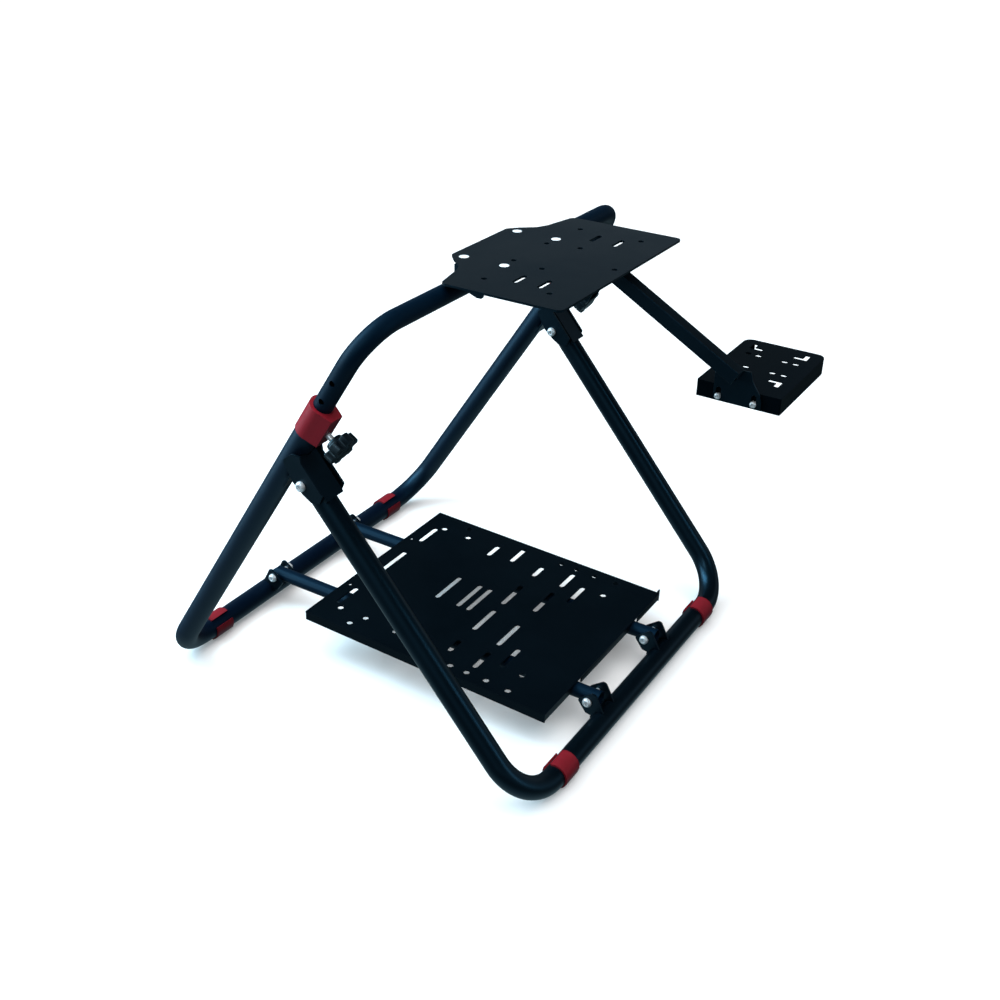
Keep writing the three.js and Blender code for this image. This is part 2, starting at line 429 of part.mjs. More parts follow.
// ---------------------------------------------------------------- wheel plate and its tilting brackets
const BOLT_X = [351.5, 412], BOLT_Y = 65.5;   // bracket bolts, either side of the top bar
const topBar = rearAt(UP_TOP);
{
  const outline = rounded([
    [550.4, -WP_HY, 8], [550.4, WP_HY, 8], [382.5, WP_HY, 9], [371.8, 112, 14], [364, 96, 16], [346, 81, 6], [333.4, 67, 6],
    [333.4, -67, 6], [346, -81, 6], [364, -96, 16], [371.8, -112, 14], [382.5, -WP_HY, 9]], 4);
  const holes = [];
  for (const s of [-1, 1]) {
    for (const [x, y] of [[418, 122], [411.5, 42], [457.5, 49.5], [510, 122]]) holes.push(circlePts(x, s * y, 4, 10));
    holes.push(slotY(454.5, s > 0 ? 83 : -113, s > 0 ? 113 : -83, 7), slotY(489, s > 0 ? 81.5 : -112.5, s > 0 ? 112.5 : -81.5, 7));
  }
  holes.push(circlePts(534, 0, 4, 10));
  // countersunk holes of the four bracket bolts
  let plate = prismZ(outline, WP_TOP - WP_T, WP_TOP, holes);
  for (const s of [-1, 1]) for (const x of BOLT_X) {
    plate = plate.subtract(cyl(V3(x, s * BOLT_Y, WP_TOP + 0.5), V3(x, s * BOLT_Y, WP_TOP - WP_T - 0.5), 7.7, 16, 3.7));
  }
  put('wheel_plate', plate, black());
}
for (const [side, s] of SIDES) {
  const zt = WP_TOP - WP_T - GAP, y = (a, b) => [Math.min(s * a, s * b), Math.max(s * a, s * b)];
  // cheek round the bar, a sleeve inside it, and a flange bolted to the plate
  const cheek = rounded([[352, zt, 0], [352, 612, 8], [371, 596, 6], [386, 590.5, 3], [394, 590.5, 3], [397, 600, 4], [397, zt, 0]].reverse(), 3);
  let b = prismY(cheek, ...y(85, 89)).add(cyl(V3(topBar.x, s * 71, topBar.z), V3(topBar.x, s * 87, topBar.z), R_UP + 3.6, 20));
  let flange = [[341, 57], [421, 57], [421, 75], [400, 89], [364, 89], [352, 77], [341, 73]].map(([x, v]) => [x, s * v]);
  if (s < 0) flange = flange.reverse();
  b = b.add(prismZ(flange, zt - 3, zt));
  for (const x of BOLT_X) b = b.add(cyl(V3(x, s * BOLT_Y, zt - 8), V3(x, s * BOLT_Y, zt - 1), 7.5, 6));
  b = b.subtract(box(300, 460, -120, 120, zt, zt + 20))
    .subtract(cyl(V3(topBar.x, -120, topBar.z), V3(topBar.x, 120, topBar.z), R_UP + GAP, 24));
  for (const x of BOLT_X) b = b.subtract(cyl(V3(x, s * BOLT_Y, zt - 20), V3(x, s * BOLT_Y, zt + 5), 3.7, 12));
  put(`tilt_bracket_${side}`, b, black());
  BOLT_X.forEach((x, i) => put(`plate_bolt_${['rear', 'front'][i]}_${side}`,
    turned([[0, -14], [3.3, -14], [3.3, -3.5], [6.5, -0.3], [6.5, 0], [0, 0.1]], V3(x, s * BOLT_Y, WP_TOP - 0.15), V3(0, 0, 1), 16), zinc()));
}
// arm sockets: square stubs set at the arm's slope under the plate, one on each side
const armTop = V3(ARM_EDGE[0], 0, ARM_EDGE[1]);
const armC = ARM_Y0 + ARM / 2;                                     // arm centre in y
const axisPt = armTop.clone().addScaledVector(bArm, -ARM / 2);     // on the arm's centre line
const SOCK = 11.3, SOCK_IN = ARM / 2 + GAP;                       // half sections of the sleeve
const SOCK_END = V3(520.7, 0, 594.7).sub(axisPt).dot(aArm);        // its open end along the arm's axis
const ARM_END = V3(700.3, 0, 519.9).sub(armTop).dot(aArm);
const square = (k) => [[-k, -k], [k, -k], [k, k], [-k, k]];
// square bar about the arm's axis line at the given y, from a0 to a1
function armBar(y, k, a0, a1) {
  const W = new THREE.Vector3().crossVectors(bArm, Y), fwd = W.dot(aArm) > 0;
  return prismFrame(square(k), axisPt.clone().add(V3(0, y, 0)), bArm, Y, fwd ? a0 : -a1, fwd ? a1 : -a0);
}
for (const [side, s] of SIDES) {
  const y = s > 0 ? armC : -armC + 12, end = SOCK_END - (s > 0 ? 12 : 3.5);
  const k = armBar(y, SOCK, end - 110, end).subtract(armBar(y, SOCK_IN, end - 112, end + 1))
    .subtract(box(300, 700, y - 40, y + 40, WP_TOP - WP_T - GAP, 760));
  put(`arm_socket_${side}`, k, black());
}

// ---------------------------------------------------------------- shifter arm
{
  // the arm's upper end is mitred to clear the plate
  const arm = armBar(armC, ARM / 2, -110, ARM_END).subtract(armBar(armC, ARM / 2 - ARM_WALL, -112, ARM_END + 1))
    .subtract(box(300, 700, 0, 90, WP_TOP - WP_T - 2 * GAP, 760));
  put('shifter_arm', arm, black());
  const bz0 = 469.6;
  const plate = rounded([[661.8, bz0, 2], [727.3, bz0, 2], [727.3, 480, 0], [723.5, 490, 0], [717.5, 498, 0], [712.5, 506, 0], [709.5, 517.6, 2], [691.7, 516.9, 3], [661, 506.6, 2]], 2);
  const slot = (x) => [...arcPts(x, 484.5, 3.4, 0, Math.PI, 5), ...arcPts(x, 475.2, 3.4, Math.PI, 2 * Math.PI, 5)];
  const y0 = ARM_Y0 + ARM + GAP;
  put('arm_end_plate', prismY(plate, y0, y0 + 3, [slot(668.5), slot(717)]), black());
}

// ---------------------------------------------------------------- shifter tray
{
  const [x0, x1] = ST_X, [y0, y1] = ST_Y, zt = ST_TOP, zb = ST_TOP - ST_T;
  const holes = [];
  for (const x of [659.3, 673.8, 711.3, 726.8]) for (const y of [128.5, 173.3]) holes.push(slotX(x - 4.7, x + 4.7, y, 6.3));
  // L-shaped slots, corner at (cx, cy), arms along sx and sy
  const ell = (cx, cy, sx, sy) => {
    const w = 3.3, pts = [[-w, -w], [15, -w], [15, w], [w, w], [w, 15], [-w, 15]].map(([a, b]) => [cx + sx * a, cy + sy * b]);
    return sx * sy > 0 ? pts : pts.reverse();
  };
  holes.push(ell(731, 103, -1, -1), ell(731, 196, -1, 1), ell(656, 195, 1, 1), ell(656, 103, 1, -1));
  const outer = rounded([[x0, y0, 2], [x1, y0, 2], [x1, y1, 12], [x0, y1, 12]], 5);
  const inner = rounded([[x0 + ST_T, y0 + ST_T, 0], [x1 - ST_T, y0 + ST_T, 0], [x1 - ST_T, y1 - ST_T, 9.5], [x0 + ST_T, y1 - ST_T, 9.5]], 5);
  let t = prismZ(outer, zb, zt, holes).add(prismZ(outer, zt - ST_FLANGE, zb + 1).subtract(prismZ(inner, zt - ST_FLANGE - 1, zb + 2)));
  // the far edge has only a short lip
  t = t.subtract(box(x0 + 13, x1 - 13, y1 - 4, y1 + 1, zt - ST_FLANGE - 1, zt - 6));
  for (const x of [668.5, 717]) t = t.subtract(cyl(V3(x, y0 - 5, 475.2), V3(x, y0 + 8, 475.2), 3.3, 10));
  put('shifter_tray', t, black());
  SIDES.forEach(([,], i) => {
    const x = [668.5, 717][i], nm = ['rear', 'front'][i], yh = ARM_Y0 + ARM + GAP - GAP;
    put(`tray_bolt_${nm}`, turned([[0, -3.6], [2.7, -3.6], [4.4, -1.9], [4.4, 0], [3, 0], [3, 13], [0, 13]], V3(x, yh, 475.2), V3(0, 1, 0), 12), zinc());
    put(`tray_nut_${nm}`, nutY(x, 475.2, y0 + ST_T + GAP, y0 + ST_T + GAP + 4.6, 5, 3.3), zinc());
  });
}

// ---------------------------------------------------------------- scene graph
const group = new THREE.Group();
const model = new THREE.Group();
model.position.set(X_SHIFT, 0, 0);
for (const [name, man, material] of nodes) {
  const mesh = new THREE.Mesh(toGeometry(man), material);
  mesh.name = name;
  model.add(mesh);
}
group.add(model);
group.updateMatrixWorld(true);

export default group;
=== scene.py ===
import json
import math

import bmesh
import bpy
from mathutils import Matrix, Vector


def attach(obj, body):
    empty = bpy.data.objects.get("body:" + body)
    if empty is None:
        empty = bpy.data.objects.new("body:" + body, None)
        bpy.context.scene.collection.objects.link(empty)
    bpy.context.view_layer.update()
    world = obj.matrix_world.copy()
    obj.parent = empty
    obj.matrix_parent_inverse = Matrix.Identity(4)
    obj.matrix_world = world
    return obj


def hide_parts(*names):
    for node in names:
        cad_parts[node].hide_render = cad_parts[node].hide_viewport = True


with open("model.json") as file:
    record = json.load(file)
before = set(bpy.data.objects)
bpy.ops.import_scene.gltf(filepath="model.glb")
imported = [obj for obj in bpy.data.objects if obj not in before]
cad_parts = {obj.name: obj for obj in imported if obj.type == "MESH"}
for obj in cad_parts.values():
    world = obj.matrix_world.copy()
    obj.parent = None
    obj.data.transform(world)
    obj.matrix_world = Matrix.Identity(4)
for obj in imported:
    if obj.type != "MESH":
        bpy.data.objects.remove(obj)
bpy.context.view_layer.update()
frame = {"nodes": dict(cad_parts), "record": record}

MM = 0.001

# ---------------------------------------------------------------- dimensions, as in the CAD (mm)
X_SHIFT = -366.5
X_FRONT, Z_BAR, HALF_W = 611.8, 19.0, 310.1
R_OUT, R_OUT_IN, R_UP, R_UP_IN, R_SUP, R_SUP_IN = 16.0, 14.0, 12.7, 11.1, 11.0, 9.5
LEAN = math.radians(32.61)
REAR_TOP, REAR_BEND, UP_LOW, UP_TOP, UP_BEND = 573.0, 68.0, 330.0, 706.0, 56.0
CLAMP_T, SUP_Y, HEAD_R, HEAD_H, GAP = 549.2, 89.5, 7.0, 5.2, 0.3
REAR_CLEVIS, FRONT_CLEVIS = (18.0, 48.0), (588.5, 45.5)
PIVOT = (288.5, 399.5)
HALF_F = 312.0
FRONT_BEND, STUB_R = 70.0, 16.5

uR = Vector((math.sin(LEAN), 0, math.cos(LEAN)))
nR = Vector((math.cos(LEAN), 0, -math.sin(LEAN)))
REAR_BAR = Vector((X_SHIFT, 0, Z_BAR))
FRONT_BAR = Vector((X_FRONT + X_SHIFT, 0, Z_BAR))
PIV = Vector((PIVOT[0] + X_SHIFT, 0, PIVOT[1]))
uF = (PIV - FRONT_BAR).normalized()
FRONT_LEN = (PIV - FRONT_BAR).length
Y = Vector((0, 1, 0))


def rear_at(t, n=0.0, y=0.0):
    return REAR_BAR + uR * t + nR * n + Y * y


# ---------------------------------------------------------------- materials
def new_material(name):
    m = bpy.data.materials.new(name)
    m.use_nodes = True
    nt = m.node_tree
    nt.nodes.clear()
    out = nt.nodes.new("ShaderNodeOutputMaterial")
    b = nt.nodes.new("ShaderNodeBsdfPrincipled")
    nt.links.new(b.outputs["BSDF"], out.inputs["Surface"])
    return m, nt, b


def noise(nt, scale, detail=4.0, rough=0.55, stretch=None):
    tc = nt.nodes.new("ShaderNodeTexCoord")
    n = nt.nodes.new("ShaderNodeTexNoise")
    n.inputs["Scale"].default_value = scale
    n.inputs["Detail"].default_value = detail
    n.inputs["Roughness"].default_value = rough
    if stretch:
        mp = nt.nodes.new("ShaderNodeMapping")
        mp.inputs["Scale"].default_value = stretch
        nt.links.new(tc.outputs["Object"], mp.inputs["Vector"])
        nt.links.new(mp.outputs["Vector"], n.inputs["Vector"])
    else:
        nt.links.new(tc.outputs["Object"], n.inputs["Vector"])
    return n


def ramp(nt, src, stops):
    r = nt.nodes.new("ShaderNodeValToRGB")
    els = r.color_ramp.elements
    while len(els) < len(stops):
        els.new(0.5)
    for e, (p, c) in zip(els, stops):
        e.position = p
        e.color = (*c, 1.0)
    nt.links.new(src, r.inputs["Fac"])
    return r


def rng(nt, src, lo, hi, a=0.3, b=0.7):
    m = nt.nodes.new("ShaderNodeMapRange")
    m.inputs["From Min"].default_value = a
    m.inputs["From Max"].default_value = b
    m.inputs["To Min"].default_value = lo
    m.inputs["To Max"].default_value = hi
    nt.links.new(src, m.inputs["Value"])
    return m


def bump(nt, b, srcs):
    """srcs: (socket, strength, distance in metres); each bump feeds the next."""
    last = None
    for s, strength, dist in srcs:
        n = nt.nodes.new("ShaderNodeBump")
        n.inputs["Strength"].default_value = strength
        n.inputs["Distance"].default_value = dist
        nt.links.new(s, n.inputs["Height"])
        if last:
            nt.links.new(last.outputs["Normal"], n.inputs["Normal"])
        last = n
    nt.links.new(last.outputs["Normal"], b.inputs["Normal"])


def make_coat(name="powder_coat_black", rough=(0.31, 0.39), spec=0.5, ior=1.5, painted_light_tint=(0.0, 0.0, 0.0)):
    """Satin black powder coat with a bluish cast: orange peel, faint cloudy tone, uneven gloss, handling dust; the tint
    argument adds base colour to lighter copies, which is painted light.
    """
    m, nt, b = new_material(name)
    big = noise(nt, 9.0, 5.0)
    peel = noise(nt, 1100.0, 2.0, 0.5)
    grain = noise(nt, 2600.0, 2.0, 0.5)
    col = ramp(nt, big.outputs["Fac"], [
        (0.30, (0.0003 + painted_light_tint[0], 0.0012 + painted_light_tint[1], 0.0022 + painted_light_tint[2])), (0.72, (0.0006 + painted_light_tint[0], 0.0018 + painted_light_tint[1], 0.0031 + painted_light_tint[2]))])
    nt.links.new(col.outputs["Color"], b.inputs["Base Color"])
    nt.links.new(rng(nt, big.outputs["Fac"], *rough).outputs["Result"], b.inputs["Roughness"])
    b.inputs["Metallic"].default_value = 0.0
    b.inputs["Specular IOR Level"].default_value = spec
    b.inputs["IOR"].default_value = ior
    b.inputs["Specular Tint"].default_value = (0.26, 0.66, 1.0, 1.0)
    bump(nt, b, [(peel.outputs["Fac"], 0.30, 0.00008), (grain.outputs["Fac"], 0.20, 0.00003)])
    return m


def make_red(name="plastic_red", k=1.0):
    """Dark red moulded plastic, slightly glossy, with a fine moulded grain and faint flow clouds; k lightens the
    colour, which on the collar copy is painted light.
    """
    m, nt, b = new_material(name)
    big = noise(nt, 30.0, 4.0)
    fine = noise(nt, 1500.0, 3.0)
    col = ramp(nt, big.outputs["Fac"], [(0.30, (0.138 * k, 0.0050 * k, 0.0105 * k)), (0.72, (0.172 * k, 0.0066 * k, 0.0132 * k))])
    nt.links.new(col.outputs["Color"], b.inputs["Base Color"])
    nt.links.new(rng(nt, fine.outputs["Fac"], 0.44, 0.54).outputs["Result"], b.inputs["Roughness"])
    b.inputs["Specular IOR Level"].default_value = 0.22
    bump(nt, b, [(fine.outputs["Fac"], 0.3, 0.00006)])
    return m


def make_zinc():
    """Bright zinc plated steel with a fine turned grain and cloudy plating."""
    m, nt, b = new_material("zinc_plate")
    big = noise(nt, 160.0, 4.0)
    fine = noise(nt, 2200.0, 3.0, 0.6)
    col = ramp(nt, big.outputs["Fac"], [(0.28, (0.66, 0.68, 0.70)), (0.75, (0.84, 0.85, 0.86))])
    nt.links.new(col.outputs["Color"], b.inputs["Base Color"])
    b.inputs["Metallic"].default_value = 0.55
    nt.links.new(rng(nt, fine.outputs["Fac"], 0.26, 0.40).outputs["Result"], b.inputs["Roughness"])
    bump(nt, b, [(fine.outputs["Fac"], 0.25, 0.00004)])
    return m


def make_knob():
    """Black moulded nylon with a spark-eroded texture and gloss that varies in soft clouds."""
    m, nt, b = new_material("plastic_black")
    big = noise(nt, 60.0, 4.0)
    fine = noise(nt, 1900.0, 3.0)
    col = ramp(nt, big.outputs["Fac"], [(0.30, (0.0018, 0.0034, 0.0050)), (0.72, (0.0030, 0.0052, 0.0072))])
    nt.links.new(col.outputs["Color"], b.inputs["Base Color"])
    nt.links.new(rng(nt, big.outputs["Fac"], 0.30, 0.40).outputs["Result"], b.inputs["Roughness"])
    b.inputs["Specular IOR Level"].default_value = 0.5
    b.inputs["Specular Tint"].default_value = (0.6, 0.85, 1.0, 1.0)
    bump(nt, b, [(fine.outputs["Fac"], 0.35, 0.00006)])
    return m


def make_painted_reflection_heads():
    """Plated heads painted near-white, a painted reflection of a bright overhead light; finely blasted."""
    m, nt, b = new_material("plate_painted_reflection")
    big = noise(nt, 200.0, 4.0)
    fine = noise(nt, 2600.0, 3.0, 0.6)
    col = ramp(nt, big.outputs["Fac"], [(0.28, (0.80, 0.81, 0.82)), (0.75, (0.90, 0.90, 0.90))])
    nt.links.new(col.outputs["Color"], b.inputs["Base Color"])
    b.inputs["Metallic"].default_value = 0.10
    nt.links.new(rng(nt, fine.outputs["Fac"], 0.30, 0.42).outputs["Result"], b.inputs["Roughness"])
    bump(nt, b, [(fine.outputs["Fac"], 0.2, 0.00003)])
    return m


# near-white plate bolt heads: a painted reflection of a bright overhead light
HEADS_PAINTED_REFLECTION = make_painted_reflection_heads()
# the collar copy of the red plastic is lightened 1.42 times: painted light
COLLAR_LIT_COPY = make_red("plastic_red_collar_lit_copy", 1.42)
# lit and shaded copies of the one black powder coat: the tube and upper copies get extra blue base colour (painted
# light), the tray and deck copies less specular (painted shade)
COAT_TUBE_LIT_COPY = make_coat("powder_coat_tube_lit_copy", (0.45, 0.53), 0.5, painted_light_tint=(0.0, 0.0003, 0.0045))
COAT_UPPER_LIT_COPY = make_coat("powder_coat_upper_lit_copy", (0.50, 0.58), 0.24, 1.42, (0.0, 0.0030, 0.0090))
COAT_TRAY_SHADED_COPY = make_coat("powder_coat_tray_shaded_copy", (0.36, 0.44), 0.13, 1.32)
COAT_DECK_SHADED_COPY = make_coat("powder_coat_deck_shaded_copy", (0.34, 0.42), 0.26, 1.38)
# parts that take the lit and shaded copies of the coat and of the red plastic
PAINTED_LIGHT_COPIES = {"rear_frame_tube": COAT_TUBE_LIT_COPY, "upper_frame_tube": COAT_UPPER_LIT_COPY, "shifter_tray": COAT_TRAY_SHADED_COPY, "pedal_plate": COAT_DECK_SHADED_COPY,
           "support_tube_left": COAT_UPPER_LIT_COPY, "support_tube_right": COAT_UPPER_LIT_COPY,
           "collar_left": COLLAR_LIT_COPY, "collar_right": COLLAR_LIT_COPY}
MATS = {"black_coat": make_coat(), "red_plastic": make_red(), "zinc_steel": make_zinc(), "knob_plastic": make_knob()}
SLOT = {s["node"]: s["material_slot"] for s in frame["record"]["subparts"]}
BODY = {n: b for b, ns in frame["record"]["behaviour"]["bodies"].items() for n in ns}


# ---------------------------------------------------------------- mesh helpers
def mesh_object(name, bm):
    me = bpy.data.meshes.new(name)
    bm.normal_update()
    bm.to_mesh(me)
    bm.free()
    o = bpy.data.objects.new(name, me)
    bpy.context.scene.collection.objects.link(o)
    return o


def bake(o):
    """Apply the modifiers."""
    dg = bpy.context.evaluated_depsgraph_get()
    me = bpy.data.meshes.new_from_object(o.evaluated_get(dg), preserve_all_data_layers=True, depsgraph=dg)
    o.modifiers.clear()
    old = o.data
    o.data = me
    bpy.data.meshes.remove(old)
    return o


def shade(o, angle=35.0):
    """Smooth shading, with edges sharper than the angle kept crisp."""
    bm = bmesh.new()
    bm.from_mesh(o.data)
    lim = math.radians(angle)
    for f in bm.faces:
        f.smooth = True
    for e in bm.edges:
        e.smooth = not (len(e.link_faces) == 2 and e.calc_face_angle(0.0) > lim)
    bm.to_mesh(o.data)
    bm.free()
    return o


def bevel(o, width, seg=2, angle=38.0):
    b = o.modifiers.new("bevel", "BEVEL")
    b.width = width
    b.segments = seg
    b.limit_method = "ANGLE"
    b.angle_limit = math.radians(angle)
    b.use_clamp_overlap = True
    b.harden_normals = False
    return bake(o)


def flatten(o):
    """Normals weighted by face area, so that flat faces stay flat up to their rounded edges."""
    w = o.modifiers.new("wn", "WEIGHTED_NORMAL")
    w.mode = "FACE_AREA"
    w.weight = 50
    w.keep_sharp = True
    return bake(o)


def cut(o, cutter, op="DIFFERENCE"):
    m = o.modifiers.new("cut", "BOOLEAN")
    m.operation = op
    m.solver = "EXACT"
    m.object = cutter
    bake(o)
    bpy.data.objects.remove(cutter)
    return o


def sweep(name, points, tangents, side, r_out, r_in, seg=64):
    """A tube through the stations, with open ends that show the wall. side: a direction square to every tangent."""
    bm = bmesh.new()
    rings = []
    for r in (r_out, r_in):
        rr = []
        for p, t in zip(points, tangents):
            b = side.cross(t).normalized()
            rr.append([bm.verts.new((p + side * (r * math.cos(2 * math.pi * k / seg)) + b * (r * math.sin(2 * math.pi * k / seg))) * MM) for k in range(seg)])
        rings.append(rr)
    out, inn = rings
    for i in range(len(points) - 1):
        for k in range(seg):
            j = (k + 1) % seg
            bm.faces.new((out[i][k], out[i][j], out[i + 1][j], out[i + 1][k]))
            bm.faces.new((inn[i][j], inn[i][k], inn[i + 1][k], inn[i + 1][j]))
    for k in range(seg):
        j = (k + 1) % seg
        bm.faces.new((out[0][j], out[0][k], inn[0][k], inn[0][j]))
        bm.faces.new((out[-1][k], out[-1][j], inn[-1][j], inn[-1][k]))
    bmesh.ops.recalc_face_normals(bm, faces=bm.faces)
    return mesh_object(name, bm)


def u_stations(bar, d, leg, half, bend, n=20):
    pts, tans = [], []
    at = lambda y, s: bar + d * s + Y * y
    pts.append(at(-half, leg)); tans.append(-d)
    for i in range(n + 1):
        a = math.pi / 2 * i / n
        pts.append(at(-half + bend - bend * math.cos(a), bend - bend * math.sin(a)))
        tans.append((-d * math.cos(a) + Y * math.sin(a)))
    for i in range(n, -1, -1):
        a = math.pi / 2 * i / n
        pts.append(at(half - bend + bend * math.cos(a), bend - bend * math.sin(a)))
        tans.append((d * math.cos(a) + Y * math.sin(a)))
    pts.append(at(half, leg)); tans.append(d.copy())
    return pts, tans


def rod(a, b, r, seg=32, name="rod"):
    """A cutter: solid rod from a to b (mm)."""
    d = (b - a)
    q = Vector((0, 0, 1)).rotation_difference(d.normalized()).to_matrix()
    bm = bmesh.new()
    lo, hi = [], []
    for k in range(seg):
        t = 2 * math.pi * k / seg
        v = q @ Vector((r * math.cos(t), r * math.sin(t), 0))
        lo.append(bm.verts.new((a + v) * MM))
        hi.append(bm.verts.new((b + v) * MM))
    bm.faces.new(lo[::-1])
    bm.faces.new(hi)
    for k in range(seg):
        j = (k + 1) % seg
        bm.faces.new((lo[k], lo[j], hi[j], hi[k]))
    bmesh.ops.recalc_face_normals(bm, faces=bm.faces)
    return mesh_object(name, bm)


def from_cad(node, dissolve=0.6):
    """A copy of a CAD node's mesh, welded and with its flat faces merged."""
    src = frame["nodes"][node]
    bm = bmesh.new()
    bm.from_mesh(src.data)
    bmesh.ops.remove_doubles(bm, verts=bm.verts, dist=2e-6)
    bmesh.ops.dissolve_limit(bm, angle_limit=math.radians(dissolve), use_dissolve_boundaries=False, verts=bm.verts, edges=bm.edges)
    bmesh.ops.recalc_face_normals(bm, faces=bm.faces)
    return mesh_object(node + "_piece", bm)


def finish_piece(o, node):
    o.data.materials.clear()
    o.data.materials.append(HEADS_PAINTED_REFLECTION if node.startswith("plate_bolt") else PAINTED_LIGHT_COPIES.get(node, MATS[SLOT[node]]))
    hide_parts(node)
    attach(o, BODY[node])
    return o


# ---------------------------------------------------------------- tubes
done = set()


def put(o, node):
    done.add(node)
    finish_piece(o, node)


p, t = u_stations(REAR_BAR, uR, REAR_TOP, HALF_W, REAR_BEND)
o = sweep("rear_frame_piece", p, t, nR, R_OUT, R_OUT_IN)
for s in (-1, 1):
    cut(o, rod(rear_at(547, 9, s * HALF_W), rear_at(547, 22, s * HALF_W), 4.3))
put(shade(o), "rear_frame_tube")

p, t = u_stations(rear_at(UP_TOP), -uR, UP_TOP - UP_LOW, HALF_W, UP_BEND)
o = sweep("upper_frame_piece", p, t, nR, R_UP, R_UP_IN)
for s in (-1, 1):
    for k in range(-4, 2):
        c = rear_at(592.4 + 32.6 * k, 0, s * HALF_W)
        cut(o, rod(c + Y * (s * 8), c + Y * (s * 16), 4.0, 24))
put(shade(o), "upper_frame_tube")

mF = Vector((uF.z, 0, -uF.x))


def front_at(t, m=0.0, y=0.0):
    return FRONT_BAR + uF * t + mF * m + Y * y


def prism_y(name, pts, y0, y1):
    """A solid between y0 and y1 (mm) of an outline of points in the XZ plane."""
    bm = bmesh.new()
    lo = [bm.verts.new(Vector((q.x, y0, q.z)) * MM) for q in pts]
    hi = [bm.verts.new(Vector((q.x, y1, q.z)) * MM) for q in pts]
    bm.faces.new(lo)
    bm.faces.new(hi[::-1])
    n = len(pts)
    for k in range(n):
        bm.faces.new((lo[k], hi[k], hi[(k + 1) % n], lo[(k + 1) % n]))
    bmesh.ops.recalc_face_normals(bm, faces=bm.faces)
    return mesh_object(name, bm)


p, t = u_stations(FRONT_BAR, uF, FRONT_LEN + STUB_R + 4, HALF_F, FRONT_BEND)
o = sweep("front_frame_piece", p, t, mF, R_OUT, R_OUT_IN)
for s in (-1, 1):
    y = s * HALF_F
    arc = [front_at(FRONT_LEN + STUB_R * math.cos(a), STUB_R * math.sin(a)) for a in [math.pi / 2 - math.pi * k / 24 for k in range(25)]]
    pts = [front_at(FRONT_LEN - 0.01, 26), *arc, front_at(FRONT_LEN - 0.01, -26), front_at(FRONT_LEN + 32, -26), front_at(FRONT_LEN + 32, 26)]
    cut(o, prism_y("stub", pts, y - 20, y + 20))
    cut(o, rod(PIV + Y * (y - 20), PIV + Y * (y + 20), 4.3))
put(shade(o), "front_frame_tube")


def lathe(name, profile, origin, axis, seg=48):
    """A closed solid: (radius, height) pairs in mm, turned about the axis."""
    q = Vector((0, 0, 1)).rotation_difference(axis.normalized()).to_matrix()
    bm = bmesh.new()
    rings = []
    for r, h in profile:
        if r < 1e-6:
            rings.append([bm.verts.new((origin + q @ Vector((0, 0, h))) * MM)])
        else:
            rings.append([bm.verts.new((origin + q @ Vector((r * math.cos(2 * math.pi * k / seg), r * math.sin(2 * math.pi * k / seg), h))) * MM) for k in range(seg)])
    for a, b in zip(rings, rings[1:]):
        for k in range(seg):
            j = (k + 1) % seg
            if len(a) == 1:
                bm.faces.new((a[0], b[k], b[j]))
            elif len(b) == 1:
                bm.faces.new((a[k], b[0], a[j]))
            else:
                bm.faces.new((a[k], b[k], b[j], a[j]))
    bmesh.ops.recalc_face_normals(bm, faces=bm.faces)
    return mesh_object(name, bm)


def button_bolt(node, x, z, y_head, y_end, r=4.0, hr=HEAD_R, hh=HEAD_H):
    """Domed socket head screw along Y; its thread shows where it leaves the nut."""
    d = 1 if y_end > y_head else -1
    L = abs(y_end - y_head)
    dome = [(hr * (0.52 + 0.48 * math.cos(a)), -0.5 - (hh - 0.5) * math.sin(a)) for a in [math.pi / 2 * k / 8 for k in range(8, -1, -1)]]
    prof = [(0, -hh), *dome, (hr, 0), (r, 0), (r, L - 8)]
    k = 0
    while L - 8 + k * 0.5 < L - 0.8:
        prof.append((r - (0.35 if k % 2 else 0.0), L - 8 + k * 0.5))
        k += 1
    prof += [(r - 0.7, L), (0, L)]
    o = lathe(node + "_piece", prof, Vector((x + X_SHIFT, y_head, z)), Y * d, 40)
    at = Vector((x + X_SHIFT, y_head, z))
    cut(o, rod(at - Y * (d * (hh + 1)), at - Y * (d * (hh - 2.8)), hr * 0.50, 6))
    bevel(o, 0.00018, 1, 50)
    put(shade(o, 38), node)


for side, s in (("left", -1), ("right", 1)):
    yc, b = s * HALF_W, 22.3
    button_bolt("hinge_bolt_" + side, PIVOT[0], PIVOT[1], yc - b - GAP, yc + b + GAP + HEAD_H)
    y = s * SUP_Y
    button_bolt("rear_clevis_bolt_" + side, REAR_CLEVIS[0], REAR_CLEVIS[1], y - 17.8, y + 17.8 + HEAD_H)
    button_bolt("front_clevis_bolt_" + side, FRONT_CLEVIS[0], FRONT_CLEVIS[1], y - 17.8, y + 17.8 + HEAD_H)

for nm, x in (("rear", 668.5), ("front", 717.0)):
    at = Vector((x + X_SHIFT, 50.8, 475.2))
    dome = [(4.4 * (0.55 + 0.45 * math.cos(a)), -0.4 - 3.2 * math.sin(a)) for a in [math.pi / 2 * k / 7 for k in range(7, -1, -1)]]
    o = lathe("tray_bolt_" + nm + "_piece", [(0, -3.6), *dome, (4.4, 0), (3, 0), (3, 12.4), (2.6, 13), (0, 13)], at, Y, 36)
    cut(o, rod(at - Y * 5, at - Y * 1.4, 2.3, 6))
    bevel(o, 0.00015, 1, 50)
    put(shade(o, 38), "tray_bolt_" + nm)

